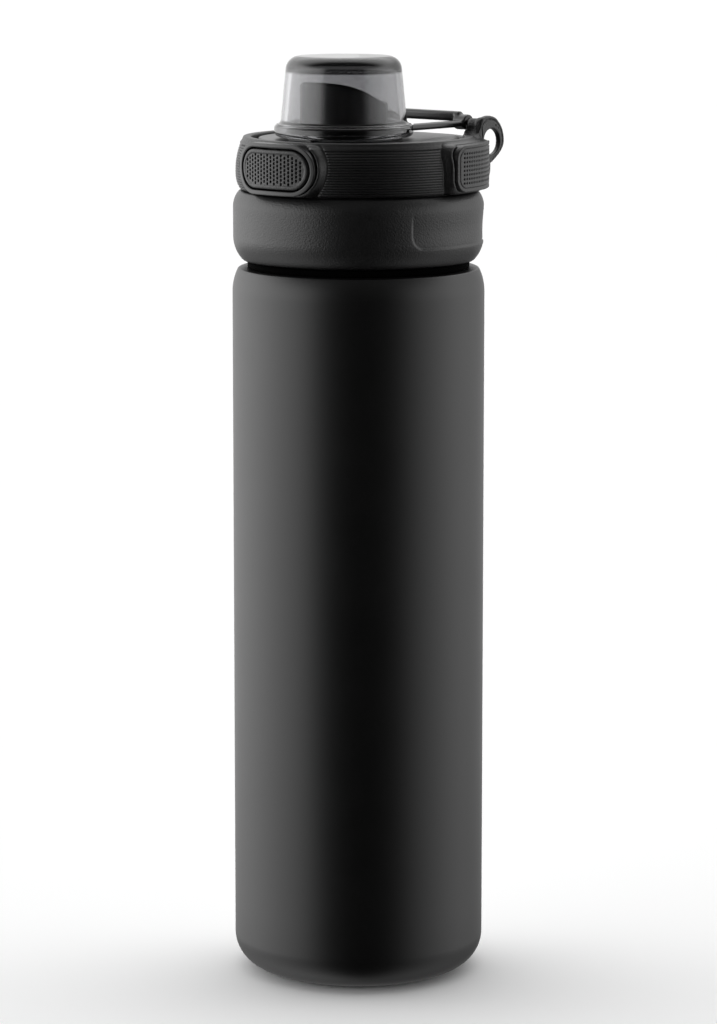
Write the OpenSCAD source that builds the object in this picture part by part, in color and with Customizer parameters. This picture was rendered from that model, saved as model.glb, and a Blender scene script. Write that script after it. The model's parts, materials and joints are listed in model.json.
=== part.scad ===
// Insulated steel water bottle for a bicycle cage: double-walled flask, screw lid with a ribbed
// grip ring, two carry loops, a push button and a clear flip cap over a slanted drinking spout.
// The origin is the middle of the base. +Z is up, the button faces -Y and the hinge is at +Y.

/* [Flask] */
// Outer radius of the barrel, sized for a standard bicycle bottle cage
flask_r = 36.5; // [35:0.1:46]
// Height of the straight barrel, where the shoulder starts
barrel_h = 200.2; // [140:0.1:280]
// Radius of the shoulder's curve
shoulder_round = 15; // [12:0.5:18]
// Height of the shoulder above the barrel
shoulder_h = 6.9; // [5:0.1:8]
// Radius of the curve between the barrel and the base
base_round = 10; // [6:0.5:11]
// Thickness of the outer steel wall
shell_wall = 0.9; // [0.5:0.1:1.5]
// Thickness of the inner steel wall
inner_wall = 0.8; // [0.5:0.1:1.5]
// Width of the vacuum space between the walls
vacuum_gap = 3; // [2:0.1:4]
// How far the neck stands in from the barrel
neck_step = 7.9; // [7.5:0.1:9]
// Height of the neck above the shoulder
neck_h = 16.9; // [15:0.1:22]
// Thickness of the neck's wall
neck_wall = 1.2; // [0.8:0.1:2]

/* [Thread] */
// Rise of the lid in one turn
thread_pitch = 4; // [3.4:0.1:5]
// Height of each thread ridge
thread_h = 1.1; // [0.8:0.1:1.4]
// Number of turns in each ridge
thread_turns = 1.5; // [1:0.25:1.75]

/* [Lid] */
// Height of the black band that shows between the shoulder and the collar
band_h = 2.3; // [1.5:0.1:4]
// Height of the smooth collar
collar_h = 20.1; // [19:0.1:26]
// Thickness of the threaded skirt
skirt_wall = 2; // [1.6:0.1:2.4]
// Height of the ribbed grip ring
grip_h = 15.6; // [15.3:0.1:19]
// Distance from one rib to the next
rib_pitch = 0.74; // [0.6:0.02:1.2]
// Depth of the grooves between the ribs
rib_depth = 0.3; // [0.1:0.02:0.4]
// How far the button and the side pads stand out of the grip ring
pad_proud = 2.1; // [1.2:0.1:3]
// Depth of the sunk panels in the collar
panel_depth = 0.45; // [0.2:0.05:0.8]

/* [Button and side pads] */
// Half the width of the button
button_w = 12.55; // [10.4:0.05:14.5]
// Half the height of the button
button_h = 5.65; // [4.6:0.05:5.8]
// Width of the frame around the button
bezel_w = 1.5; // [0.8:0.05:1.6]
// Gap around the button
button_gap = 0.35; // [0.25:0.05:0.5]
// How far the button travels
button_travel = 1.6; // [1.2:0.1:1.8]
// Half the width of each side pad
pad_w = 17.6; // [16:0.1:18.5]
// Half the height of each side pad
pad_h = 6.7; // [5.8:0.1:7]
// Radius of the side pads' corners
pad_corner = 4; // [2:0.5:5]

/* [Cap and spout] */
// Outer radius of the spout
spout_r = 12.6; // [10:0.1:14]
// Thickness of the spout's wall
spout_wall = 2.2; // [1.4:0.1:3]
// Height of the spout's front lip above the rim
spout_h = 15.9; // [12:0.1:18]
// How much lower the lip is on the hinge side
lip_drop = 5.9; // [2:0.1:7]
// Gap between the spout and the inside of the cap's top
cap_room = 2.2; // [1.8:0.1:4]
// Thickness of the cap's wall
cap_wall = 1.6; // [1.2:0.1:2.4]
// Height of the cap above the rim
cap_h = 23.1; // [21:0.1:28]

/* [Hinge and loops] */
// Radius of the hinge pins
pin_r = 0.95; // [0.8:0.05:1.1]
// Thickness of each lug that holds a hinge pin
lug_t = 6; // [5:0.1:8]
// Thickness of each carry loop's ring
loop_t = 2; // [1.6:0.1:3]
// Outer radius of each carry loop
loop_r = 7.35; // [6.8:0.05:8]
// Radius of the hole in each carry loop
loop_hole_r = 3.7; // [2.5:0.05:3.9]

/* [Hidden] */
$fn = 96;

// Clearances
fit = 0.05;      // a pin in its bore
slip = 0.1;      // round pieces that turn on each other
loose = 0.3;     // pieces that pass each other
big = 200;       // reaches past everything

// Flask, from the base upwards
shoulder_z = barrel_h + shoulder_h;
neck_r = flask_r - neck_step;
neck_in = neck_r - neck_wall;
neck_z = shoulder_z + neck_h;
inner_r = flask_r - shell_wall - vacuum_gap;
base_disc_r = flask_r - base_round - 2;
base_t = 0.9;
inner_floor_z = 6;
inner_round = 10;
inner_top_z = barrel_h - 10;
plug_r = 5;

// Lid, from the collar upwards
collar_z = shoulder_z + band_h;
grip_z = collar_z + collar_h;
rim_z = grip_z + grip_h;
collar_r = flask_r - 0.15;
collar_low_round = 10;
collar_low_h = 7;        // from the collar's bottom to the middle of its lower curve
collar_top_round = 6.5;
collar_top_h = 4.6;      // from the middle of its upper curve to the collar's top
panel_rise = 5.6;
panel_arc = 51;
skirt_in = neck_r + thread_h + loose;
skirt_out = skirt_in + skirt_wall;
gasket_t = 2.2;
core_z = neck_z + gasket_t;
flange_t = 2.2;
flange_r = skirt_out + 1.4;
plug_out = neck_in - 0.8;
plug_wall = 2;
plug_drop = 8;
plug_z = core_z - plug_drop;
cover_t = 1.2;
passage_wall = 1.6;
thread_z = shoulder_z + 4.7;
ridge_root = 0.15;   // how deep each thread ridge is rooted in its wall

// Grip ring
grip_r = collar_r - 0.75;
grip_in = skirt_out + 0.2;
grip_mid_z = grip_z + 5.9;
rim_r = grip_r - 2.4;
rim_w = 2.2;
rim_in = rim_r - rim_w;
rim_band = 1.75;
rib_start = 0.8;
groove_w = 2.1;
groove_depth = 2.7;
deck_r = rim_in - groove_w;
deck_z = rim_z - 0.5;
deck_t = 2.2;
deck_wall = 1.5;
pad_r = grip_r + pad_proud;
frame_w = button_w + button_gap + bezel_w;
frame_h = button_h + button_gap + bezel_w - 0.15;
pad_z = grip_z + 7.9;
side_pad_z = pad_z - 0.3;
pad_back_r = pad_r - 4.2;
pad_root = 0.8;

// Cap and spout, which share an upright axis in front of the lid's middle
dome_top_r = spout_r + cap_room + cap_wall;
dome_r = dome_top_r + 1.9;
cap_r = dome_r + 1.7;
cap_edge = 2.55;
cap_y = -(deck_r - cap_r - cap_edge);
cap_z = rim_z + 0.15;
cap_flange_h = 3.5;
cap_top_z = rim_z + cap_h;
cap_round = 3.8;
roof_t = 2.6;
spout_in = spout_r - spout_wall;
lip_z = rim_z + spout_h;
lip_start = spout_r - 0.4;
lip_run = 18.5;
valve_y = cap_y + spout_in + 8;
valve_r = 1.5;

// Catch and latch
catch_w = button_w - 8.15;
catch_t = 1.6;
catch_swing = 2.1;   // how far the catch's foot swings forwards as the cap opens
catch_front = cap_y - cap_r + 1.15;
catch_back = catch_front + catch_t;
hook_reach = button_travel - loose;
hook_t = 1.6;
catch_low_z = pad_z - 2.4;
slide_t = 2;
slide_z = catch_low_z + hook_t + loose;
slide_w = button_w - 4.95;
slide_bar = 2;
slide_hook_gap = 0.4;
spring_x = button_w - 2.85;
spring_r = 1.55;
spring_wire = 0.22;
spring_near = spring_x - spring_r - spring_wire;
spring_far = spring_x + spring_r + spring_wire;
spring_back_y = -sqrt(deck_r * deck_r - spring_near * spring_near) - fit;
spring_front_y = -sqrt(pad_back_r * pad_back_r - spring_far * spring_far) + fit;

// Hinge and carry loops
hinge_y = rim_in - 3.1;
hinge_z = rim_z + 3.2;
knuckle_r = 2.2;
arm_x = cap_r - 5.8;
arm_w = 3.6;
knuckle_x = arm_x - 0.6;
knuckle_end = arm_x + arm_w + 0.3;
lug_x = knuckle_end + 0.4;
ear_x = lug_x + lug_t;
pin_depth = 3.4;
boss_r = 2;
hinge_coil_r = 1.36;
hinge_wire = 0.24;
hinge_coil_l = 2;
loop_y = hinge_y + 1.7;
loop_z = hinge_z - 5.3;
loop_front = hinge_y - 2.5;
hole_y = loop_y + 1.3;
hole_z = loop_z - 0.2;
pad_angle = atan2(ear_x, -loop_y) - asin((pad_w - 2.85) / pad_r);
notch_z = rim_z - 1;

// Radius of the grip ring's ribs at a height: a quick curve below the widest point, a slow one above
function grip_at(z) = z > grip_mid_z
    ? grip_r - 0.0247 * pow(z - grip_mid_z, 2)
    : grip_r - 0.0086 * pow(grip_mid_z - z, 3);

// Height of the spout's lip at a distance behind the front of the spout
function lip_at(y) =
    let (t = min(1, max(0, (y - cap_y + lip_start) / lip_run)))
    lip_z - lip_drop * t * t * (3 - 2 * t);

// A band of height h between two radii, standing on z
module band(r_in, r_out, z, h) {
    translate([0, 0, z])
        difference() {
            cylinder(r = r_out, h = h);
            translate([0, 0, -1])
                cylinder(r = r_in, h = h + 2);
        }
}

// A cylinder along X
module x_rod(r, x, y, z, length) {
    translate([x, y, z])
        rotate([0, 90, 0])
            cylinder(r = r, h = length);
}

// A box given by two opposite corners
module block(low, high) {
    translate(low)
        cube(high - low);
}

// A flat shape with round ends, given by half its width and half its height
module stadium(w, h) {
    square([2 * (w - h), 2 * h], center = true);
    for (side = [-1, 1])
        translate([side * (w - h), 0])
            circle(r = h);
}

// A rectangle with round corners, given by half its width and half its height
module round_box(w, h, corner) {
    square([2 * (w - corner), 2 * h], center = true);
    square([2 * w, 2 * (h - corner)], center = true);
    for (x = [-1, 1], y = [-1, 1])
        translate([x * (w - corner), y * (h - corner)])
            circle(r = corner);
}

// A flat shape carried outwards from the axis at a height, towards an angle from the front
module outwards(angle, z) {
    rotate([0, 0, angle])
        translate([0, 0, z])
            rotate([90, 0, 0])
                linear_extrude(height = big / 2)
                    children();
}

// The form of a carry loop's ring: a disc across X with a flat front
module ear(x, length, grow) {
    intersection() {
        x_rod(loop_r + grow, x, loop_y, loop_z, length);
        block([0, loop_front - grow, 0], [big, big, big * 2]);
    }
}

// One thread ridge: a trapezium swept along a helix, thinning out at both ends
module ridge(r_root, r_crest, z_start) {
    steps = 36;
    last = thread_turns * steps;
    root_w = 1.8;
    crest_w = 1;
    inward = r_crest < r_root;
    points = [for (i = [0 : last])
        let (a = 360 * i / steps,
            z = z_start + thread_pitch * i / steps,
            rise = max(0.1, min(1, i / 6, (last - i) / 6)),
            r = r_root + (r_crest - r_root) * rise)
        each [for (p = [[r_root, -root_w / 2], [r, -crest_w / 2], [r, crest_w / 2],
                [r_root, root_w / 2]])
            [p[0] * cos(a), p[0] * sin(a), z + p[1]]]];
    sides = [for (i = [0 : last - 1], k = [0 : 3])
        let (a = 4 * i + k, b = 4 * i + (k + 1) % 4)
        each [[a, b, b + 4], [a, b + 4, a + 4]]];
    ends = [[0, 2, 1], [0, 3, 2], [4 * last, 4 * last + 1, 4 * last + 2],
        [4 * last, 4 * last + 2, 4 * last + 3]];
    all_faces = concat(sides, ends);
    polyhedron(points, inward ? all_faces : [for (f = all_faces) [f[2], f[1], f[0]]]);
}

// A coil spring along Z from z = 0
module coil(r, wire, length, turns) {
    steps = 18;
    sides = 8;
    last = round(turns * steps);
    rise = length - 2 * wire;
    points = [for (i = [0 : last], k = [0 : sides - 1])
        let (a = 360 * i / steps,
            b = 360 * k / sides,
            d = r + wire * cos(b))
        [d * cos(a), d * sin(a), wire + rise * i / last + wire * sin(b)]];
    walls = [for (i = [0 : last - 1], k = [0 : sides - 1])
        let (a = sides * i + k, b = sides * i + (k + 1) % sides)
        each [[a, b + sides, b], [a, a + sides, b + sides]]];
    ends = [[for (k = [0 : sides - 1]) k], [for (k = [sides - 1 : -1 : 0]) sides * last + k]];
    polyhedron(points, concat(walls, ends));
}

// Section of the flask's outer form, drawn in by a wall thickness
module outer_section(wall) {
    r = flask_r - wall;
    intersection() {
        union() {
            translate([0, base_round])
                square([r, barrel_h - base_round]);
            translate([0, wall])
                square([flask_r - base_round, barrel_h]);
            translate([flask_r - base_round, base_round])
                circle(r = base_round - wall);
            translate([0, barrel_h])
                square([flask_r - shoulder_round, shoulder_round]);
            translate([flask_r - shoulder_round, barrel_h])
                circle(r = shoulder_round - wall);
        }
        square([big, shoulder_z - wall]);
    }
}

module outer_shell() {
    color([0.09, 0.09, 0.1])
        rotate_extrude()
            difference() {
                outer_section(0);
                outer_section(shell_wall);
                square([base_disc_r, barrel_h]);
                translate([0, barrel_h])
                    square([neck_r, big]);
            }
}

// Section of the inner flask's outer form, drawn in by a wall thickness
module inner_section(wall, neck_radius) {
    r = inner_r - wall;
    corner = inner_r - inner_round;
    translate([0, inner_floor_z + inner_round])
        square([r, inner_top_z - inner_floor_z - inner_round]);
    translate([0, inner_floor_z + wall])
        square([corner, inner_top_z - inner_floor_z]);
    for (z = [inner_floor_z + inner_round, inner_top_z])
        intersection() {
            translate([corner, z])
                circle(r = inner_round - wall);
            square([big, big * 2]);
        }
    translate([0, inner_top_z])
        square([neck_radius, neck_z - inner_top_z + wall]);
}

module inner_flask() {
    color([0.75, 0.75, 0.76])
        rotate_extrude()
            intersection() {
                difference() {
                    inner_section(0, neck_r);
                    inner_section(inner_wall, neck_in);
                }
                square([big, neck_z]);
            }
}

module neck_thread() {
    color([0.75, 0.75, 0.76])
        ridge(neck_r - ridge_root, neck_r + thread_h, thread_z);
}

module base_plate() {
    color([0.09, 0.09, 0.1])
        difference() {
            union() {
                cylinder(r = base_disc_r, h = base_t);
                band(base_disc_r - base_t, base_disc_r, 0, 3.2);
            }
            translate([0, 0, -1])
                cylinder(r = plug_r, h = 4);
        }
}

module vacuum_plug() {
    color([0.3, 0.3, 0.31]) {
        cylinder(r = plug_r, h = base_t);
        translate([0, 0, base_t])
            cylinder(r = plug_r + 1.5, h = 0.6);
    }
}

module getter() {
    color([0.55, 0.55, 0.56])
        translate([12, 0, base_t])
            cylinder(r = 3, h = 1.6);
}

module shoulder_ring() {
    color([0.03, 0.03, 0.03])
        band(neck_r + loose, collar_r - 4.2, shoulder_z, band_h - 0.2);
}

module mouth_gasket() {
    color([0.5, 0.5, 0.52])
        band(plug_out + slip, skirt_in - 0.4, neck_z, gasket_t);
}

// The upright passage that the drink takes through the lid
module spout_passage(r, z, h) {
    translate([0, cap_y, z])
        cylinder(r = r, h = h);
}

module lid_core() {
    color([0.1, 0.1, 0.11])
        difference() {
            union() {
                band(skirt_in, skirt_out, collar_z + 1.6, core_z - collar_z - 1.6);
                translate([0, 0, core_z])
                    cylinder(r = skirt_out, h = grip_z - flange_t - core_z);
                translate([0, 0, grip_z - flange_t])
                    cylinder(r = flange_r, h = flange_t);
                band(plug_out - plug_wall, plug_out, plug_z, plug_drop);
                spout_passage(spout_in + passage_wall, plug_z, plug_drop);
            }
            spout_passage(spout_in, plug_z - 1, big);
            translate([0, valve_y, plug_z - 1])
                cylinder(r = valve_r, h = big);
        }
}

module lid_thread() {
    color([0.1, 0.1, 0.11])
        ridge(skirt_in + ridge_root, skirt_in - thread_h, thread_z + thread_pitch / 2);
}

module plug_cover() {
    color([0.1, 0.1, 0.11])
        difference() {
            translate([0, 0, plug_z - cover_t])
                cylinder(r = plug_out, h = cover_t);
            spout_passage(spout_in, plug_z - 5, 10);
            translate([0, valve_y, plug_z - 5])
                cylinder(r = valve_r + 1.5, h = 10);
        }
}

module lid_insulator() {
    color([0.85, 0.84, 0.8])
        difference() {
            translate([0, 0, plug_z])
                cylinder(r = plug_out - plug_wall - slip, h = plug_drop);
            spout_passage(spout_in + passage_wall + slip, plug_z - 1, plug_drop + 2);
            translate([0, valve_y, plug_z - 1])
                cylinder(r = valve_r + 1.5, h = plug_drop + 2);
        }
}

module collar() {
    panel_w = collar_r * sin(panel_arc);
    low_z = collar_z + collar_low_h;
    top_z = grip_z - collar_top_h;
    color([0.08, 0.08, 0.09])
        difference() {
            rotate_extrude()
                intersection() {
                    union() {
                        translate([0, low_z])
                            square([collar_r, top_z - low_z]);
                        translate([collar_r - collar_low_round, low_z])
                            circle(r = collar_low_round);
                        translate([collar_r - collar_top_round, top_z])
                            circle(r = collar_top_round);
                        translate([0, collar_z])
                            square([collar_r - collar_top_round, collar_h]);
                    }
                    difference() {
                        translate([skirt_out + slip, collar_z])
                            square([big, collar_h]);
                        translate([0, grip_z - flange_t])
                            square([flange_r + slip, big]);
                    }
                }
            for (side = [-1, 1])
                difference() {
                    outwards(side * pad_angle, collar_z + panel_rise)
                        panel_outline(panel_w, collar_h);
                    translate([0, 0, collar_z])
                        cylinder(r = collar_r - panel_depth, h = collar_h);
                }
        }
}

// A panel with two round lower corners
module panel_outline(w, h) {
    corner = 4;
    translate([-w, corner])
        square([2 * w, h]);
    translate([corner - w, 0])
        square([2 * (w - corner), h]);
    for (side = [-1, 1])
        translate([side * (w - corner), corner])
            circle(r = corner);
}

module grip_ring() {
    rib_low = grip_z + rib_start;
    ribs = floor((grip_h - rim_band - rib_start) / rib_pitch);
    crest = rib_pitch * 0.55;
    ribbed = [for (i = [0 : ribs - 1])
        let (z = rib_low + i * rib_pitch, r = grip_at(z + crest / 2))
        each [[r, z], [r, z + crest], [r - rib_depth, z + crest + 0.08],
            [r - rib_depth, z + rib_pitch - 0.08]]];
    rim_low = rib_low + ribs * rib_pitch;
    section = concat(
        [[grip_in, grip_z], [grip_at(grip_z), grip_z]],
        ribbed,
        [[grip_at(rim_low), rim_low], [rim_r + 0.5, rim_z - 0.9], [rim_r + 0.15, rim_z - 0.3],
            [rim_r - 0.4, rim_z], [rim_in, rim_z], [rim_in, rim_z - groove_depth],
            [deck_r + loose, rim_z - groove_depth], [deck_r + loose, rim_z - groove_depth - 1.4],
            [grip_in, rim_z - groove_depth - 3.2]]);
    color([0.07, 0.07, 0.08])
        difference() {
            rotate_extrude()
                polygon(section);
            outwards(0, pad_z)
                stadium(frame_w, frame_h);
            block([-lug_x, 0, notch_z], [lug_x, big, rim_z + 5]);
            for (side = [0, 1])
                mirror([side, 0, 0]) {
                    outwards(pad_angle, side_pad_z)
                        round_box(pad_w, pad_h, pad_corner);
                    ear(lug_x - fit, lug_t + 2 * fit, fit);
                }
        }
}

module top_plate() {
    side_room = 2 * loose;
    color([0.08, 0.08, 0.09])
        difference() {
            union() {
                translate([0, 0, deck_z - deck_t])
                    cylinder(r = deck_r, h = deck_t);
                band(deck_r - deck_wall, deck_r, grip_z, deck_z - grip_z - deck_t);
            }
            spout_passage(spout_r + loose, grip_z - 1, big);
            block([-catch_w - side_room, catch_front - catch_swing, deck_z - deck_t - 1],
                [catch_w + side_room, catch_back + hook_reach + loose, deck_z + 1]);
            block([-slide_w - side_room, -big, slide_z - side_room],
                [slide_w + side_room, catch_back, slide_z + slide_t + side_room]);
        }
}

// The right-hand side pad and the carry loop that grows out of it
module carry_loop() {
    difference() {
        union() {
            ear(ear_x - loop_t, loop_t, 0);
            intersection() {
                union() {
                    ear(lug_x, lug_t - loop_t, 0);
                    intersection() {
                        outwards(pad_angle, side_pad_z)
                            round_box(pad_w - fit, pad_h - fit, pad_corner - fit);
                        band(grip_in + pad_root, pad_r, grip_z, grip_h);
                    }
                }
                block([0, -big, 0], [big, hole_y - loop_hole_r - slip, big * 2]);
            }
            x_rod(boss_r, lug_x, hinge_y, hinge_z, lug_t - loop_t);
        }
        x_rod(loop_hole_r, 0, hole_y, hole_z, big);
        x_rod(pin_r + fit, 0, hinge_y, hinge_z, lug_x + pin_depth + fit);
    }
}

module right_loop() {
    color([0.08, 0.08, 0.09])
        carry_loop();
}

module left_loop() {
    color([0.08, 0.08, 0.09])
        mirror([1, 0, 0])
            carry_loop();
}

module button_bezel() {
    color([0.08, 0.08, 0.09])
        intersection() {
            difference() {
                outwards(0, pad_z)
                    stadium(frame_w - fit, frame_h - fit);
                outwards(0, pad_z)
                    stadium(button_w + button_gap, button_h + button_gap);
            }
            band(grip_in + pad_root, pad_r, grip_z, grip_h);
        }
}

module push_button() {
    color([0.09, 0.09, 0.1]) {
        intersection() {
            outwards(0, pad_z)
                stadium(button_w, button_h);
            band(pad_back_r, pad_r - 0.1, grip_z, grip_h);
        }
        for (side = [-1, 1])
            translate([side * spring_x, spring_front_y + button_travel - loose, pad_z])
                rotate([90, 0, 0])
                    cylinder(r = spring_r - spring_wire - 0.2, h = 2.6);
    }
}

module latch_slide() {
    bar_front = catch_back + slide_hook_gap;
    color([0.85, 0.85, 0.83])
        intersection() {
            difference() {
                block([-slide_w, -big, slide_z], [slide_w, bar_front + slide_bar, slide_z + slide_t]);
                block([-catch_w - 1, catch_front - button_travel - 2 * loose, slide_z - 1],
                    [catch_w + 1, bar_front, slide_z + slide_t + 1]);
            }
            cylinder(r = pad_back_r, h = big * 2);
        }
}

module button_springs() {
    color([0.7, 0.7, 0.7])
        for (side = [-1, 1])
            translate([side * spring_x, spring_back_y, pad_z])
                rotate([90, 0, 0])
                    coil(spring_r, spring_wire, spring_back_y - spring_front_y, 3);
}

module spout() {
    back = 40;
    lip = [for (y = [-spout_r : 1.2 : spout_r]) [cap_y + y, lip_at(cap_y + y)]];
    color([0.1, 0.1, 0.11])
        difference() {
            union() {
                spout_passage(spout_r, grip_z, lip_z - grip_z);
                spout_passage(spout_r + 2, grip_z, 1.5);
            }
            spout_passage(spout_in, grip_z - 1, big);
            translate([-back, 0, 0])
                rotate([90, 0, 90])
                    linear_extrude(height = 2 * back)
                        polygon(concat([[-back, lip_z]], lip, [[back, lip_at(back)],
                            [back, lip_z + back], [-back, lip_z + back]]));
        }
}

module spout_ring() {
    color([0.03, 0.03, 0.03])
        translate([0, cap_y, 0])
            band(spout_r, spout_r + 1, deck_z + 0.1, 1.2);
}

module air_valve() {
    color([0.5, 0.5, 0.52])
        translate([0, valve_y, 0]) {
            translate([0, 0, core_z - 1])
                cylinder(r = valve_r, h = grip_z - core_z + 1.8);
            translate([0, 0, grip_z])
                cylinder(r = valve_r + 1.2, h = 0.8);
            translate([0, 0, core_z - 1.6])
                cylinder(r = valve_r + 1, h = 1.6);
        }
}

// Section of the cap's outside, drawn in by a wall and with its roof lowered
module dome_section(wall, roof) {
    top = cap_top_z - roof;
    corner = cap_round - wall * 0.6;
    polygon([[0, cap_z], [dome_r - wall, cap_z], [dome_r - wall, cap_z + cap_flange_h],
        [dome_top_r - wall, top - corner], [dome_top_r - wall - corner, top], [0, top]]);
    translate([dome_top_r - wall - corner, top - corner])
        circle(r = corner);
}

module cap_dome() {
    color([0.25, 0.25, 0.27, 0.45])
        translate([0, cap_y, 0])
            rotate_extrude()
                difference() {
                    intersection() {
                        union() {
                            dome_section(0, 0);
                            translate([0, cap_z])
                                square([cap_r - 0.8, cap_flange_h]);
                            translate([0, cap_z + 0.8])
                                square([cap_r, cap_flange_h - 1.6]);
                            for (z = [cap_z + 0.8, cap_z + cap_flange_h - 0.8])
                                translate([cap_r - 0.8, z])
                                    circle(r = 0.8);
                        }
                        square([big, big * 2]);
                    }
                    dome_section(cap_wall, roof_t);
                    translate([0, cap_z - 1])
                        square([dome_r - cap_wall, 2]);
                    square([cap_r - 3.1, cap_z + 1.2]);
                }
}

module cap_seal() {
    color([0.5, 0.5, 0.52])
        translate([0, cap_y, 0])
            band(cap_r - 4.6, cap_r - 3.1 - fit, deck_z + 0.1, cap_z + 1.2 - deck_z - 0.1 - fit);
}

module cap_catch() {
    color([0.1, 0.1, 0.11]) {
        block([-catch_w, catch_front, catch_low_z], [catch_w, catch_back, cap_z]);
        block([-catch_w, catch_front, catch_low_z],
            [catch_w, catch_back + hook_reach, catch_low_z + hook_t]);
    }
}

module cap_yoke() {
    bar_low = hinge_z + 0.1;
    bar_h = 2.9;
    bore_x = knuckle_x + 0.5;
    pocket_r = hinge_coil_r + 0.39;
    pocket_l = hinge_coil_l + 0.2;
    color([0.1, 0.1, 0.11])
        difference() {
            union() {
                for (side = [-1, 1]) {
                    low_x = side > 0 ? arm_x : -arm_x - arm_w;
                    block([low_x, cap_y, hinge_z - 1.3], [low_x + arm_w, hinge_y, hinge_z + 0.5]);
                    x_rod(knuckle_r, side > 0 ? knuckle_x : -knuckle_end, hinge_y, hinge_z,
                        knuckle_end - knuckle_x);
                }
                block([-knuckle_x - 1.4, hinge_y - 1.1, bar_low],
                    [knuckle_x + 1.4, hinge_y + 1.1, bar_low + bar_h]);
            }
            translate([0, cap_y, 0])
                cylinder(r = cap_r, h = big * 2);
            for (side = [-1, 1]) {
                x_rod(pin_r + fit, side > 0 ? bore_x : -big, hinge_y, hinge_z, big - bore_x);
                x_rod(pocket_r, side > 0 ? bore_x : -bore_x - pocket_l, hinge_y, hinge_z, pocket_l);
            }
        }
}

module hinge_pins() {
    start = knuckle_x + 0.6;
    length = lug_x + pin_depth - start;
    color([0.75, 0.75, 0.76])
        for (side = [-1, 1])
            x_rod(pin_r, side > 0 ? start : -start - length, hinge_y, hinge_z, length);
}

module hinge_springs() {
    start = knuckle_x + 0.6;
    color([0.7, 0.7, 0.7])
        for (side = [-1, 1])
            translate([side > 0 ? start : -start - hinge_coil_l, hinge_y, hinge_z])
                rotate([0, 90, 0])
                    coil(hinge_coil_r, hinge_wire, hinge_coil_l, 3);
}

outer_shell();
inner_flask();
neck_thread();
base_plate();
vacuum_plug();
getter();
shoulder_ring();
mouth_gasket();
lid_core();
lid_thread();
plug_cover();
lid_insulator();
collar();
grip_ring();
top_plate();
right_loop();
left_loop();
button_bezel();
push_button();
latch_slide();
button_springs();
spout();
spout_ring();
air_valve();
cap_dome();
cap_seal();
cap_catch();
cap_yoke();
hinge_pins();
hinge_springs();
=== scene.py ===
"""Looks of the insulated water bottle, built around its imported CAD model.

Lengths are in millimetres inside the helpers and become metres when a mesh is made.
Angles round the bottle are measured from the front (-Y) towards +X.
"""
import json
import math

import bmesh
import bpy
import numpy as np
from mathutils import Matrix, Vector

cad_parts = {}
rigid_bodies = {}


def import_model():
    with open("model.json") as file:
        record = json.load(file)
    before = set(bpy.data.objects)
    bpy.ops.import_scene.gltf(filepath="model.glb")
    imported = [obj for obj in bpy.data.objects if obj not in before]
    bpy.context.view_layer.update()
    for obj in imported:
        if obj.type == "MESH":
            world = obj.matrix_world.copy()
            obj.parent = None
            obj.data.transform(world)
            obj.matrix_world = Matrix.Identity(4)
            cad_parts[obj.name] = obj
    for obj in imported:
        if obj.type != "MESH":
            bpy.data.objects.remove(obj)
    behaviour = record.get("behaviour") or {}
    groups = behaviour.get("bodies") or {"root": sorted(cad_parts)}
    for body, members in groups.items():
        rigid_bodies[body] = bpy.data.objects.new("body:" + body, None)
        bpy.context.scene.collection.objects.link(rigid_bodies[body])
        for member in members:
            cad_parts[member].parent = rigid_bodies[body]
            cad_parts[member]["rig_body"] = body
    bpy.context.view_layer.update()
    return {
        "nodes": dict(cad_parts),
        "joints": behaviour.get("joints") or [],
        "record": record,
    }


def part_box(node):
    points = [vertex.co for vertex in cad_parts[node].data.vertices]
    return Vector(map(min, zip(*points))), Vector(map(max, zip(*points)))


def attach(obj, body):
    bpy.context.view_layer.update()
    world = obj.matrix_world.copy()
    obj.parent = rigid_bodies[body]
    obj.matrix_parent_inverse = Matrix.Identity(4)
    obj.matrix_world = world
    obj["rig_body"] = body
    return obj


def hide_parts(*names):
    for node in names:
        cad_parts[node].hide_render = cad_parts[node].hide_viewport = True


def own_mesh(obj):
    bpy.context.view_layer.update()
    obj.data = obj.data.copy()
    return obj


MM = 0.001
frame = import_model()
SLOT_OF = {s["node"]: s["material_slot"] for s in frame["record"]["subparts"]}


def box_mm(node):
    """Lowest and highest corner of a CAD node, in millimetres."""
    low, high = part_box(node)
    return np.array(low) / MM, np.array(high) / MM


# ---------------------------------------------------------------------------
# Sizes, all read from the frame
# ---------------------------------------------------------------------------
_, shell_high = box_mm("outer_shell")
band_low, band_high = box_mm("shoulder_ring")
collar_low, collar_high = box_mm("collar")
grip_low, grip_high = box_mm("grip_ring")
deck_low, deck_high = box_mm("top_plate")
bezel_low, bezel_high = box_mm("button_bezel")
button_low, button_high = box_mm("push_button")
loop_low, loop_high = box_mm("right_loop")
spout_low, spout_high = box_mm("spout")
dome_low, dome_high = box_mm("cap_dome")
_, seal_high = box_mm("cap_seal")
catch_low, catch_high = box_mm("cap_catch")
slide_low, slide_high = box_mm("latch_slide")
yoke_low, yoke_high = box_mm("cap_yoke")
spring_low, spring_high = box_mm("button_springs")
_, pin_high = box_mm("hinge_pins")
hinge = next(j for j in frame["joints"] if j["name"] == "cap_open")
hole_mount = next(m for m in frame["record"]["mounts"] if m["name"] == "right_loop_hole")

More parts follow.
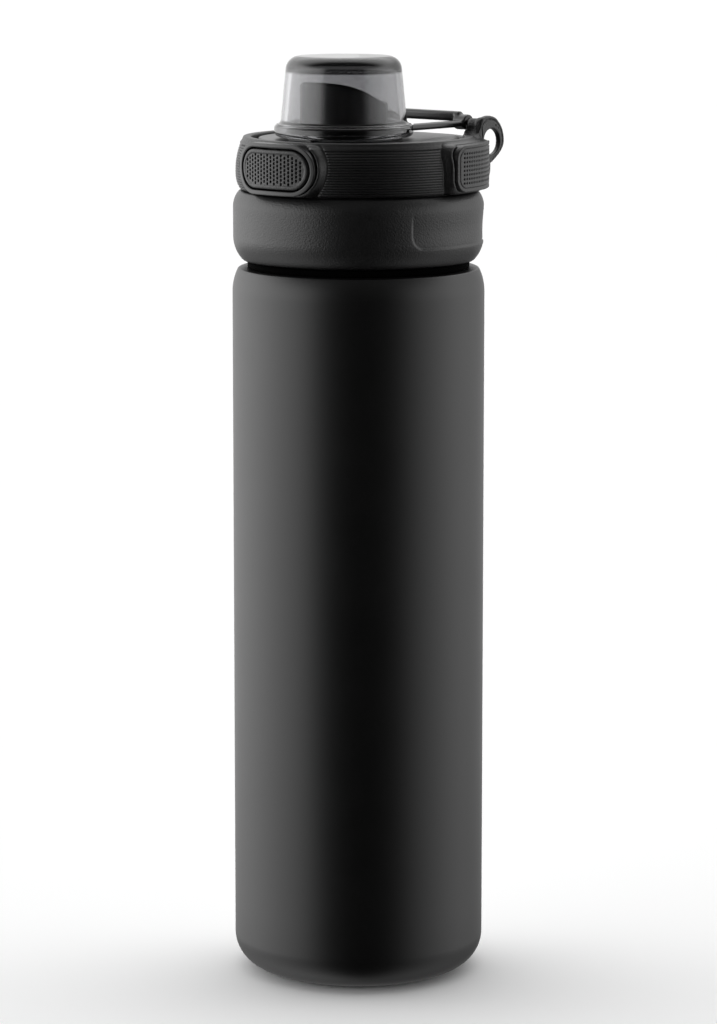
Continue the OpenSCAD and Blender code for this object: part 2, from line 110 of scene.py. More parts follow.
FLASK_R = shell_high[0]
SHOULDER_Z = shell_high[2]
COLLAR_R = collar_high[0]
COLLAR_Z, GRIP_Z, RIM_Z = collar_low[2], grip_low[2], grip_high[2]
DECK_R, DECK_Z = deck_high[0], deck_high[2]
PAD_R = -bezel_low[1]
PAD_Z = (bezel_low[2] + bezel_high[2]) / 2
FRAME_W = bezel_high[0]
FRAME_H = (bezel_high[2] - bezel_low[2]) / 2
BUTTON_W = button_high[0]
BUTTON_H = (button_high[2] - button_low[2]) / 2
CAP_Y = (dome_low[1] + dome_high[1]) / 2
CAP_R = dome_high[0]
CAP_Z, CAP_TOP = dome_low[2], dome_high[2]
SPOUT_BASE_R = spout_high[0]
HINGE_Y, HINGE_Z = hinge["pos_m"][1] / MM, hinge["pos_m"][2] / MM
HOLE_X, HOLE_Y, HOLE_Z = [c / MM for c in hole_mount["pos_m"]]
HOLE_R = hole_mount["dims"]["r_mm"]
RING_T = hole_mount["dims"]["length_mm"]
LUG_X = loop_low[0]
EAR_X = HOLE_X + RING_T / 2


# ---------------------------------------------------------------------------
# Mesh helpers
# ---------------------------------------------------------------------------
def make_piece(node, verts, faces, suffix="fine", weld=False):
    """A mesh that stands for a CAD node: it rides on the node's body and takes its slot."""
    mesh = bpy.data.meshes.new(f"{node}_{suffix}")
    mesh.from_pydata((np.asarray(verts, float) * MM).tolist(), [], [list(f) for f in faces])
    if weld:
        work = bmesh.new()
        work.from_mesh(mesh)
        bmesh.ops.remove_doubles(work, verts=work.verts, dist=1e-7)
        wires = [e for e in work.edges if not e.link_faces]
        bmesh.ops.delete(work, geom=wires, context="EDGES")
        bmesh.ops.recalc_face_normals(work, faces=work.faces)
        work.to_mesh(mesh)
        work.free()
    mesh.polygons.foreach_set("use_smooth", [True] * len(mesh.polygons))
    mesh.update()
    piece = bpy.data.objects.new(mesh.name, mesh)
    bpy.context.scene.collection.objects.link(piece)
    mesh.materials.append(MATERIALS[SLOT_OF[node]])
    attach(piece, frame["nodes"][node]["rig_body"])
    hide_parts(node)
    return piece


def smoothstep(low, high, x):
    """Goes smoothly from 0 at low to 1 at high."""
    t = np.clip((x - low) / (high - low), 0, 1)
    return t * t * (3 - 2 * t)


def arc(cx, cz, radius, start, end, count):
    """Points on an arc in the section plane, angles in degrees from +r towards +z."""
    return [(cx + radius * math.cos(math.radians(a)), cz + radius * math.sin(math.radians(a)))
            for a in np.linspace(start, end, count)]


def rounded(points, count=5):
    """A closed section from corners (r, z) or (r, z, fillet), with each fillet drawn as an arc."""
    out = []
    total = len(points)
    for i, point in enumerate(points):
        fillet = point[2] if len(point) > 2 else 0
        here = np.array(point[:2], float)
        if not fillet:
            out.append(tuple(here))
            continue
        before = np.array(points[i - 1][:2], float) - here
        after = np.array(points[(i + 1) % total][:2], float) - here
        before /= np.linalg.norm(before)
        after /= np.linalg.norm(after)
        half = math.acos(float(np.clip(before @ after, -1, 1))) / 2
        if half > math.pi / 2 - 0.02:
            out.append(tuple(here))
            continue
        reach = fillet / math.tan(half)
        middle = here + (before + after) / np.linalg.norm(before + after) * fillet / math.sin(half)
        start = here + before * reach - middle
        end = here + after * reach - middle
        swing = math.pi - 2 * half
        for t in np.linspace(0, 1, count):
            mix = (math.sin((1 - t) * swing) * start + math.sin(t * swing) * end) / math.sin(swing)
            out.append(tuple(middle + mix))
    return out


def ring_faces(rows, columns, closed=True):
    """Quads over a grid of rows x columns that wraps round its columns, and its rows if closed."""
    i = np.arange(rows if closed else rows - 1)[:, None]
    j = np.arange(columns)[None, :]
    a = i * columns + j
    b = i * columns + (j + 1) % columns
    c = ((i + 1) % rows) * columns + (j + 1) % columns
    d = ((i + 1) % rows) * columns + j
    return np.stack([a, b, c, d], -1).reshape(-1, 4)


def turned(section, segments=192, centre_y=0.0, shift=None):
    """A section turned round an upright axis. shift(angle, r, z) may move its points."""
    section = np.array(section, float)
    angle = np.linspace(0, 2 * math.pi, segments, endpoint=False)[None, :]
    r = np.repeat(section[:, :1], segments, 1)
    z = np.repeat(section[:, 1:2], segments, 1)
    if shift:
        r, z = shift(np.broadcast_to(angle, r.shape), r, z)
    verts = np.stack([r * np.sin(angle), centre_y - r * np.cos(angle), z], -1).reshape(-1, 3)
    return verts, ring_faces(len(section), segments)


def implicit(field, low, high, step):
    """Surface nets: a mesh of where field(x, y, z) is 0, with its points then moved onto it."""
    count = [int(math.ceil((high[i] - low[i]) / step)) + 1 for i in range(3)]
    axes = [low[i] + step * np.arange(count[i]) for i in range(3)]
    grid = field(axes[0][:, None, None], axes[1][None, :, None], axes[2][None, None, :])
    value = np.broadcast_to(grid, count).astype(np.float32)
    # The surface stays off the grid's border, so that it always closes
    for axis in range(3):
        for end in (0, -1):
            border = [slice(None)] * 3
            border[axis] = end
            value[tuple(border)] = np.maximum(value[tuple(border)], step * 0.1)
    inside = value < 0
    cells = tuple(c - 1 for c in count)
    total = np.zeros(cells, np.int8)
    for i in (0, 1):
        for j in (0, 1):
            for k in (0, 1):
                total += inside[i:i + cells[0], j:j + cells[1], k:k + cells[2]]
    active = (total > 0) & (total < 8)
    index = np.full(cells, -1, np.int64)
    index[active] = np.arange(active.sum())
    place = np.zeros((int(active.sum()), 3))
    weight = np.zeros(len(place))
    quads = []
    # Each grid edge that the surface crosses gives one quad between the four cells round it
    for axis in range(3):
        near = [slice(None)] * 3
        far = [slice(None)] * 3
        near[axis], far[axis] = slice(0, -1), slice(1, None)
        v0, v1 = value[tuple(near)], value[tuple(far)]
        at = np.argwhere((v0 < 0) != (v1 < 0))
        a0, a1 = v0[tuple(at.T)], v1[tuple(at.T)]
        point = at.astype(float)
        point[:, axis] += a0 / (a0 - a1)
        others = [k for k in range(3) if k != axis]
        around = []
        for da, db in ((0, 0), (-1, 0), (-1, -1), (0, -1)):
            cell = at.copy()
            cell[:, others[0]] += da
            cell[:, others[1]] += db
            found = index[tuple(cell.T)]
            np.add.at(place, found, point)
            np.add.at(weight, found, 1)
            around.append(found)
        quad = np.stack(around, 1)
        flip = (a0 < 0) != (axis != 1)
        quad[flip] = quad[flip][:, ::-1]
        quads.append(quad)
    verts = np.array(low) + step * place / weight[:, None]
    tiny = step * 0.05
    # Newton steps along the field's slope bring the points onto the surface
    for _ in range(3):
        x, y, z = verts.T
        here = field(x, y, z)
        slope = np.stack([
            field(x + tiny, y, z) - field(x - tiny, y, z),
            field(x, y + tiny, z) - field(x, y - tiny, z),
            field(x, y, z + tiny) - field(x, y, z - tiny)], 1) / (2 * tiny)
        steepness = np.maximum((slope ** 2).sum(1), 0.2)
        move = -slope * (here / steepness)[:, None]
        length = np.linalg.norm(move, axis=1)
        verts = verts + move * np.minimum(1, 0.5 * step / np.maximum(length, 1e-9))[:, None]
    return verts, np.concatenate(quads)


# ---------------------------------------------------------------------------
# Distance helpers: below 0 inside, above 0 outside
# ---------------------------------------------------------------------------
def join(a, b, k):
    """Union with a fillet of about k."""
    h = np.clip(0.5 + 0.5 * (b - a) / k, 0, 1)
    return b + (a - b) * h - k * h * (1 - h)


def cut(a, b, k):
    """Intersection with a rounded edge of about k."""
    return -join(-a, -b, k)


def rounded_box(u, w, half_u, half_w, corner):
    """Distance to a rectangle with rounded corners in the plane of u and w."""
    qu = np.abs(u) - half_u + corner
    qw = np.abs(w) - half_w + corner
    beyond = np.hypot(np.maximum(qu, 0), np.maximum(qw, 0))
    return beyond + np.minimum(np.maximum(qu, qw), 0) - corner


def slab(x, low, high):
    """Distance to the layer between low and high."""
    return np.abs(x - (low + high) / 2) - (high - low) / 2


def dimples(u, w, edge, pitch_u, pitch_w, radius, depth, inset, tall=1.0, stagger=0.5):
    """How deep a field of dimples goes at (u, w); edge(u, w) is the field's outline.

    Dimples closer than inset to the outline are left out, tall stretches them along w, and every
    other column is moved by a share (stagger) of the pitch.
    """
    column = np.round(u / pitch_u)
    offset = np.mod(column, 2) * pitch_w * stagger
    centre_u = column * pitch_u
    centre_w = np.round((w - offset) / pitch_w) * pitch_w + offset
    bowl = 1 - ((u - centre_u) / radius) ** 2 - ((w - centre_w) / (radius * tall)) ** 2
    return depth * np.clip(bowl, 0, 1) * (edge(centre_u, centre_w) < -inset)


# ---------------------------------------------------------------------------
# Materials: one for each slot, with colour, gloss and relief from noise
# ---------------------------------------------------------------------------
def material(name, dark, light, gloss, grain_mm, grain_depth_mm, mottle_mm=9.0, relief="noise",
             metallic=0.0, specular=0.5, stretch=(1, 1, 1), **sockets):
    """dark and light are the two ends of the colour, gloss the two ends of the roughness."""
    made = bpy.data.materials.new(name)
    made.use_nodes = True
    nodes, links = made.node_tree.nodes, made.node_tree.links
    shader = nodes["Principled BSDF"]
    place = nodes.new("ShaderNodeTexCoord")
    scaled = nodes.new("ShaderNodeMapping")
    scaled.inputs["Scale"].default_value = stretch
    links.new(place.outputs["Object"], scaled.inputs["Vector"])

    mottle = nodes.new("ShaderNodeTexNoise")
    mottle.inputs["Scale"].default_value = 1 / (mottle_mm * MM)
    mottle.inputs["Detail"].default_value = 5
    links.new(scaled.outputs["Vector"], mottle.inputs["Vector"])
    ramp = nodes.new("ShaderNodeValToRGB")
    ramp.color_ramp.elements[0].position, ramp.color_ramp.elements[1].position = 0.3, 0.7
    ramp.color_ramp.elements[0].color = (*dark, 1)
    ramp.color_ramp.elements[1].color = (*light, 1)
    links.new(mottle.outputs["Fac"], ramp.inputs["Fac"])
    links.new(ramp.outputs["Color"], shader.inputs["Base Color"])

    if relief == "pebble":
        grain = nodes.new("ShaderNodeTexVoronoi")
        grain.feature = "SMOOTH_F1"
        height = grain.outputs["Distance"]
    else:
        grain = nodes.new("ShaderNodeTexNoise")
        grain.inputs["Detail"].default_value = 3
        height = grain.outputs["Fac"]
    grain.inputs["Scale"].default_value = 1 / (grain_mm * MM)
    links.new(scaled.outputs["Vector"], grain.inputs["Vector"])
    spread = nodes.new("ShaderNodeMapRange")
    spread.inputs["To Min"].default_value, spread.inputs["To Max"].default_value = gloss
    blend = nodes.new("ShaderNodeMath")
    blend.operation = "MULTIPLY_ADD"
    blend.inputs[1].default_value = 0.4
    links.new(mottle.outputs["Fac"], blend.inputs[0])
    share = nodes.new("ShaderNodeMath")
    share.operation = "MULTIPLY"
    share.inputs[1].default_value = 0.6
    links.new(height, share.inputs[0])
    links.new(share.outputs[0], blend.inputs[2])
    links.new(blend.outputs[0], spread.inputs["Value"])
    links.new(spread.outputs["Result"], shader.inputs["Roughness"])

    bump = nodes.new("ShaderNodeBump")
    bump.inputs["Strength"].default_value = 1
    bump.inputs["Distance"].default_value = grain_depth_mm * MM
    links.new(height, bump.inputs["Height"])
    links.new(bump.outputs["Normal"], shader.inputs["Normal"])

    shader.inputs["Metallic"].default_value = metallic
    shader.inputs["Specular IOR Level"].default_value = specular
    for socket, value in sockets.items():
        shader.inputs[socket.replace("_", " ")].default_value = value
    return made


MATERIALS = {
    "powder_coat": material("powder_coat", (0.0014, 0.0014, 0.0015), (0.0021, 0.0021, 0.0022),
                            (0.36, 0.44), 0.45, 0.005, mottle_mm=14),
    "soft_plastic": material("soft_plastic", (0.0034, 0.0034, 0.0036), (0.0048, 0.0048, 0.0050),
                             (0.36, 0.46), 0.45, 0.06, mottle_mm=6, relief="pebble"),
    "lid_plastic": material("lid_plastic", (0.0028, 0.0028, 0.0030), (0.0040, 0.0040, 0.0042),
                            (0.26, 0.36), 0.30, 0.008, mottle_mm=5),
    "black_rubber": material("black_rubber", (0.0006, 0.0006, 0.0006), (0.0012, 0.0012, 0.0012),
                             (0.85, 0.95), 0.25, 0.012, mottle_mm=3, specular=0.02),
    "grey_silicone": material("grey_silicone", (0.19, 0.19, 0.20), (0.25, 0.25, 0.26),
                              (0.42, 0.56), 0.3, 0.006, mottle_mm=3),
    "bare_steel": material("bare_steel", (0.55, 0.54, 0.53), (0.67, 0.66, 0.65), (0.22, 0.38),
                           0.18, 0.004, mottle_mm=5, metallic=1.0, stretch=(1, 1, 12)),
    "latch_plastic": material("latch_plastic", (0.70, 0.70, 0.67), (0.79, 0.79, 0.76), (0.34, 0.44),
                              0.3, 0.004),
    "foam": material("foam", (0.70, 0.69, 0.64), (0.86, 0.85, 0.81), (0.85, 0.95), 0.6, 0.12,
                     relief="pebble", mottle_mm=2),
    "smoke_plastic": material("smoke_plastic", (0.40, 0.40, 0.41), (0.44, 0.44, 0.45), (0.02, 0.05),
                              1.4, 0.0008, mottle_mm=20, specular=0.85, Transmission_Weight=1.0,
                              IOR=1.49),
}


def paint_shade_by_height(made, low, high, share):
    """Painted shade: takes a material's colour down to a share of itself from one height to the
    other.
    """
    nodes, links = made.node_tree.nodes, made.node_tree.links
    shader = nodes["Principled BSDF"]
    place = nodes.new("ShaderNodeTexCoord")
    split = nodes.new("ShaderNodeSeparateXYZ")
    links.new(place.outputs["Object"], split.inputs["Vector"])
    ramp = nodes.new("ShaderNodeMapRange")
    ramp.interpolation_type = "SMOOTHSTEP"
    for name, value in (("From Min", low), ("From Max", high), ("To Min", 1), ("To Max", share)):
        ramp.inputs[name].default_value = value
    links.new(split.outputs["Z"], ramp.inputs["Value"])
    scale = nodes.new("ShaderNodeVectorMath")
    scale.operation = "SCALE"
    links.new(shader.inputs["Base Color"].links[0].from_socket, scale.inputs[0])
    links.new(ramp.outputs["Result"], scale.inputs["Scale"])
    links.new(scale.outputs["Vector"], shader.inputs["Base Color"])


# Painted shade: the smoke plastic's colour is darkened on the cap's thick roof and flange. It stands
# in for the light that their thicker plastic lets through less than the wall does.
ROOF_SHADE, FLANGE_SHADE = 0.04, 0.25
ROOF_FADE = (CAP_TOP - 5.2, CAP_TOP - 2.8)
FLANGE_FADE = (CAP_Z + 4.6, CAP_Z + 2.4)
paint_shade_by_height(MATERIALS["smoke_plastic"], ROOF_FADE[0] * MM, ROOF_FADE[1] * MM, ROOF_SHADE)
paint_shade_by_height(MATERIALS["smoke_plastic"], FLANGE_FADE[0] * MM, FLANGE_FADE[1] * MM, FLANGE_SHADE)

SHARP_ANGLE = math.radians(32)

for node, obj in frame["nodes"].items():
    obj.data.materials.clear()
    obj.data.materials.append(MATERIALS[SLOT_OF[node]])
    for polygon in obj.data.polygons:
        polygon.use_smooth = True
    obj.data.set_sharp_from_angle(angle=SHARP_ANGLE)


# ---------------------------------------------------------------------------
# Flask and collar
# ---------------------------------------------------------------------------
SHELL_WALL = 0.9
BASE_ROUND = 10.0
SHOULDER_ROUND = 15.0
BARREL_TOP = SHOULDER_Z - 6.9
BASE_DISC_R = box_mm("base_plate")[1][0]
NECK_R = 28.6
BASE_SEAM, NECK_SEAM = 0.05, 0.02

shoulder_angle = math.degrees(math.asin((SHOULDER_Z - BARREL_TOP) / SHOULDER_ROUND))
shoulder_x = FLASK_R - SHOULDER_ROUND
outer = [(BASE_DISC_R + BASE_SEAM, 0.0, 0.15), (FLASK_R - BASE_ROUND, 0.0)]
outer += arc(FLASK_R - BASE_ROUND, BASE_ROUND, BASE_ROUND, -84, 0, 15)
outer += [(FLASK_R, z) for z in np.linspace(20, BARREL_TOP - 2, 40)]
outer += arc(shoulder_x, BARREL_TOP, SHOULDER_ROUND, 0, shoulder_angle - 3, 10)
corner_r = shoulder_x + SHOULDER_ROUND * math.cos(math.radians(shoulder_angle))
outer += [(corner_r, SHOULDER_Z, 0.7), (NECK_R + NECK_SEAM, SHOULDER_Z)]
outer += [(NECK_R + NECK_SEAM, SHOULDER_Z - SHELL_WALL)]
outer += arc(shoulder_x, BARREL_TOP, SHOULDER_ROUND - SHELL_WALL, shoulder_angle - 4, 0, 8)
outer += arc(FLASK_R - BASE_ROUND, BASE_ROUND, BASE_ROUND - SHELL_WALL, 0, -90, 10)
outer += [(BASE_DISC_R + BASE_SEAM, SHELL_WALL)]
make_piece("outer_shell", *turned(rounded(outer), 256), weld=True)

BAND_IN = NECK_R + 0.3
BAND_BULGE = 0.1
band = [(BAND_IN, band_low[2] + 0.02), (band_high[0] - BAND_BULGE, band_low[2] + 0.02, 0.5),
        (band_high[0], (band_low[2] + band_high[2]) / 2, 0.4),
        (band_high[0] - BAND_BULGE, band_high[2], 0.5), (BAND_IN, band_high[2])]
make_piece("shoulder_ring", *turned(rounded(band), 192), weld=True)

# Collar: its two curves, then the shallow panel on each side
LOW_CURVE, TOP_CURVE = 10.0, 6.5
LOW_CURVE_Z, TOP_CURVE_Z = COLLAR_Z + 7.0, GRIP_Z - 4.6
SKIRT_R = 32.1
PANEL_DEPTH = 0.42
PANEL_CORNER = 4.0
PANEL_ARC = math.radians(51)
PANEL_LOW_Z = COLLAR_Z + 5.6
PANEL_TOP_Z = GRIP_Z + 6
PANEL_FADE_Z = GRIP_Z - 3.5
EDGE_SOFT = 0.45
CURVE_END = 0.3
COLLAR_LIP = 0.5

low_end = -math.degrees(math.asin((LOW_CURVE_Z - COLLAR_Z - CURVE_END) / LOW_CURVE))
top_end = math.degrees(math.asin((GRIP_Z - CURVE_END - TOP_CURVE_Z) / TOP_CURVE))
low_r = COLLAR_R - LOW_CURVE + LOW_CURVE * math.cos(math.radians(low_end))
top_r = COLLAR_R - TOP_CURVE + TOP_CURVE * math.cos(math.radians(top_end))
collar = [(SKIRT_R, COLLAR_Z), (low_r - COLLAR_LIP, COLLAR_Z)]
collar += arc(COLLAR_R - LOW_CURVE, LOW_CURVE_Z, LOW_CURVE, low_end, 0, 34)
collar += [(COLLAR_R, z) for z in np.linspace(LOW_CURVE_Z, TOP_CURVE_Z, 32)[1:-1]]
collar += arc(COLLAR_R - TOP_CURVE, TOP_CURVE_Z, TOP_CURVE, 0, top_end, 22)
collar += [(top_r - COLLAR_LIP, GRIP_Z), (SKIRT_R + 0.8, GRIP_Z)]

# The loop's outline is centred a little in front of its hole, and the pad's end laps over it
LOOP_FORWARD = 1.3
PAD_W, PAD_H, PAD_CORNER = 17.55, 6.65, 3.95
PAD_SEAM, PAD_LAP = 0.05, 2.85
PAD_MID_Z = PAD_Z - 0.3
# The side pads stand at this angle on either side of the front
PAD_ANGLE = (math.atan2(EAR_X, -(HOLE_Y - LOOP_FORWARD))
             - math.asin((PAD_W + PAD_SEAM - PAD_LAP) / PAD_R))


def sink_panels(angle, r, z):
    """Sinks the collar's panels, which are centred under the side pads."""
    turn = np.abs((angle + math.pi) % (2 * math.pi) - math.pi)
    across = (turn - PAD_ANGLE) * COLLAR_R
    half = PANEL_ARC * COLLAR_R
    mid_z = (PANEL_LOW_Z + PANEL_TOP_Z) / 2
    tall = (PANEL_TOP_Z - PANEL_LOW_Z) / 2
    distance = rounded_box(across, z - mid_z, half, tall, PANEL_CORNER)
    outside = smoothstep(SKIRT_R + 1.2, SKIRT_R + 2.2, r)
    outside = outside * smoothstep(PANEL_FADE_Z, PANEL_LOW_Z + PANEL_CORNER, z)
    return r - PANEL_DEPTH * smoothstep(EDGE_SOFT / 2, -EDGE_SOFT / 2, distance) * outside, z


make_piece("collar", *turned(collar, 768, shift=sink_panels), weld=True)


# ---------------------------------------------------------------------------
# Grip ring: ribs that stop short of the raised frames, with a smooth hollow round each
# ---------------------------------------------------------------------------
GRIP_R = COLLAR_R - 0.75
GRIP_MID_Z = GRIP_Z + 5.9
RIM_R, RIM_IN = GRIP_R - 2.4, GRIP_R - 4.6
RIM_BAND = 1.75
RIB_PITCH, RIB_DEPTH = 0.74, 0.36
RIB_START = 0.8
GROOVE_DEPTH = 2.7
GRIP_IN = 32.2
HOLLOW_W, HOLLOW_DEPTH = 2.2, 0.3
FLANK_W, FLANK_H = 2.0, 2.4
UNDER_DEPTH = 2.2
BACK_R = GRIP_IN + 0.8
FAR_OFF = 99.0


def grip_at(z):
    """The ring's radius at a height: it falls away above and below its widest line."""
    above = GRIP_R - 0.0247 * (z - GRIP_MID_Z) ** 2
    below = GRIP_R - 0.0086 * (GRIP_MID_Z - z) ** 3
    return np.where(z > GRIP_MID_Z, above, below)


def frame_distance(u, w):
    return rounded_box(u, w, FRAME_W, FRAME_H, FRAME_H)


def pad_distance(u, w):
    return rounded_box(u, w, PAD_W, PAD_H, PAD_CORNER)


rib_count = int((RIM_Z - GRIP_Z - RIM_BAND - RIB_START) / RIB_PITCH)
RIB_TOP = GRIP_Z + RIB_START + rib_count * RIB_PITCH
# One rib as shares of its pitch and depth: a rounded crest, then the groove
RIB_SHAPE = [(0.0, 0.12), (0.12, 0.0), (0.3, -0.05), (0.48, 0.0), (0.6, 0.12), (0.72, 0.85),
             (0.81, 1.0), (0.90, 0.85)]
rows = [(grip_at(GRIP_Z) - 1.5, GRIP_Z, 0), (grip_at(GRIP_Z) - 1.3, GRIP_Z + 0.26, 0),
        (grip_at(GRIP_Z) - 0.15, GRIP_Z + 0.3, 0), (grip_at(GRIP_Z + 0.4), GRIP_Z + 0.42, 0),
        (grip_at(GRIP_Z + 0.6), GRIP_Z + 0.6, 0)]
for i in range(rib_count):
    for part, depth in RIB_SHAPE:
        z = GRIP_Z + RIB_START + (i + part) * RIB_PITCH
        rows.append((float(grip_at(z)), z, depth))
shoulder_r = float(grip_at(RIB_TOP))
rim_curve = [(shoulder_r + 0.02, RIB_TOP + 0.1), (shoulder_r - 0.02, RIB_TOP + 0.5),
             (RIM_R + 0.45, RIM_Z - 1.0, 1.2), (RIM_R + 0.1, RIM_Z - 0.02, 0.55),
             (RIM_IN, RIM_Z - 0.02, 0.5), (RIM_IN, RIM_Z - GROOVE_DEPTH, 0.3),
             (DECK_R + 0.3, RIM_Z - GROOVE_DEPTH), (DECK_R + 0.3, RIM_Z - GROOVE_DEPTH - 1.4),
             (GRIP_IN, RIM_Z - GROOVE_DEPTH - 3.2), (GRIP_IN, GRIP_Z), (GRIP_IN + 1, GRIP_Z)]
rows += [(r, z, 0) for r, z in rounded(rim_curve)]
ring_section = np.array(rows, float)
NOTCH_Z = RIM_Z - 1.0
PAD_END_Y = HOLE_Y - HOLE_R - 0.1


def shape_grip(angle, r, z):
    """Ends the ribs in front of each frame, hollows the ring there, rises to the frame's side."""
    depth = np.repeat(ring_section[:, 2:3], angle.shape[1], 1)
    turn = (angle + math.pi) % (2 * math.pi) - math.pi
    near = np.full(angle.shape, FAR_OFF)
    for middle, mid_z, outline in ((0, PAD_Z, frame_distance),
                                   (PAD_ANGLE, PAD_MID_Z, pad_distance),
                                   (-PAD_ANGLE, PAD_MID_Z, pad_distance)):
        off = np.abs((turn - middle + math.pi) % (2 * math.pi) - math.pi)
        across = np.where(off < math.pi / 2, r * np.sin(off), FAR_OFF)
        near = np.minimum(near, outline(across, z - mid_z))
    outside = smoothstep(GRIP_IN + 0.9, GRIP_IN + 1.6, r) * smoothstep(RIM_Z - 0.2, RIM_Z - 1.6, z)
    ribs = smoothstep(HOLLOW_W - 0.3, HOLLOW_W, near)
    hollow = smoothstep(HOLLOW_W + 0.1, HOLLOW_W - 0.5, near)
    rise = smoothstep(FLANK_W, 0, near)
    lift = np.clip(PAD_R - 0.05 - r, 0, FLANK_H)
    held = smoothstep(PAD_END_Y + 0.3, PAD_END_Y - 0.3, -r * np.cos(turn))
    rise = rise * held
    under = smoothstep(-0.25, -0.6, near) * held
    r = r - RIB_DEPTH * depth * ribs
    r = r + outside * (lift * rise * (1 - under) - HOLLOW_DEPTH * hollow - UNDER_DEPTH * under)
    x, y = r * np.sin(turn), -r * np.cos(turn)
    back = smoothstep(LUG_X, LUG_X - 0.8, np.abs(x)) * (y > 0)
    z = np.where(z > NOTCH_Z, z - (z - NOTCH_Z) * back, z)
    return r, z


def punch(piece, outline, near_y, far_y):
    """Cuts an opening through a piece along Y, where outline is a closed line of (x, z)."""
    count = len(outline)
    verts = np.array([(x, y, z) for y in (near_y, far_y) for x, z in outline]) * MM
    faces = [[i, i + count, (i + 1) % count + count, (i + 1) % count] for i in range(count)]
    faces += [list(range(count)), list(range(count, 2 * count))[::-1]]
    mesh = bpy.data.meshes.new("cutter")
    mesh.from_pydata(verts.tolist(), [], faces)
    mesh.materials.append(piece.data.materials[0])
    cutter = bpy.data.objects.new("cutter", mesh)
    bpy.context.scene.collection.objects.link(cutter)
    modifier = piece.modifiers.new("opening", "BOOLEAN")
    modifier.solver = "MANIFOLD"
    modifier.object = cutter
    bpy.context.view_layer.update()
    graph = bpy.context.evaluated_depsgraph_get()
    opened = bpy.data.meshes.new_from_object(piece.evaluated_get(graph))
    piece.modifiers.clear()
    piece.data = opened
    bpy.data.objects.remove(cutter)
    bpy.data.meshes.remove(mesh)


grip_ring = make_piece("grip_ring", *turned(ring_section[:, :2], 960, shift=shape_grip), weld=True)
# The button moves in and out through an opening that its frame stands in
OPENING_W, OPENING_H = FRAME_W - 0.8, FRAME_H - 0.8
opening = [(side * (OPENING_W - OPENING_H) + OPENING_H * math.cos(a),
            PAD_Z + OPENING_H * math.sin(a))
           for side, start in ((1, -math.pi / 2), (-1, math.pi / 2))
           for a in np.linspace(start, start + math.pi, 24)]
punch(grip_ring, opening, -PAD_R - 10, -DECK_R + 8)


# ---------------------------------------------------------------------------
# Button, its frame, and the side pads with their loops
# ---------------------------------------------------------------------------
FRAME_ROUND = 0.12
BUTTON_PROUD = 0.1
BUTTON_BACK = 4.2
WINDOW_W, WINDOW_H = BUTTON_W + 0.35, BUTTON_H + 0.35
BUTTON_DIMPLES = {"pitch_u": 1.26, "pitch_w": 1.14, "radius": 0.36, "depth": 0.6, "inset": 1.35,
                  "tall": 1.25}


def button_distance(u, w):
    return rounded_box(u, w, BUTTON_W, BUTTON_H, BUTTON_H)


def frame_field(x, y, z):
    """The raised frame round the button, whose front follows a cylinder about the axis."""
    out = np.hypot(x, y)
    w = z - PAD_Z
    around = frame_distance(x, w)
    window = -rounded_box(x, w, WINDOW_W, WINDOW_H, WINDOW_H)
    edges = cut(cut(around, out - PAD_R, 1.5 * FRAME_ROUND), window, 0.5)
    return np.maximum(np.maximum(edges, np.maximum(around, window)), BACK_R - out)


def button_field(x, y, z):
    """The button: a slightly dished face with a field of dimples."""
    out = np.hypot(x, y)
    w = z - PAD_Z
    edge = button_distance(x, w)
    face = out - (PAD_R - BUTTON_PROUD)
    body = cut(edge, face, 0.7)
    pits = dimples(x, w, button_distance, **BUTTON_DIMPLES)
    pits = pits * smoothstep(-1.2, -0.4, face)
    dish = 0.2 * smoothstep(-0.9, -1.5, edge) * smoothstep(-1.2, -0.4, face)
    return np.maximum(body + pits + dish, PAD_R - BUTTON_BACK - out)


make_piece("button_bezel", *implicit(
    frame_field, bezel_low - 0.3, bezel_high + 0.3, 0.16))
make_piece("push_button", *implicit(
    button_field, (button_low[0] - 0.3, button_low[1] - 0.3, button_low[2] - 0.3),
    (button_high[0] + 0.3, -math.sqrt((PAD_R - BUTTON_BACK) ** 2 - BUTTON_W ** 2) + 0.5,
     button_high[2] + 0.3), 0.13))

LOOP_R = loop_high[1] - HOLE_Y + LOOP_FORWARD
LOOP_Y, LOOP_Z = HOLE_Y - LOOP_FORWARD, HOLE_Z + 0.2
LOOP_FRONT_Y = HINGE_Y - 2.45
CHIN_Y, CHIN_Z, CHIN_CUT = 0.555, 0.832, 0.25
PIN_HOLE_R = 1.0
SADDLE = 4.5
FACE_R = 6.0
GROOVE_IN, GROOVE_W, GROOVE_CUT = 1.05, 0.24, 0.22
DIMPLES_U, DIMPLES_W = 0.3, 0.5
PAD_DIMPLES = {"pitch_u": 1.2, "pitch_w": 1.2, "radius": 0.36, "depth": 0.5, "inset": 2.0,
               "stagger": 0}
# A row of small pits follows the outer side of the loop's hole
PIT_STEP, PIT_SPAN = math.radians(17), math.radians(70)
PIT_ROW, PIT_R, PIT_DEPTH = HOLE_R + 1.25, 0.36, 0.25


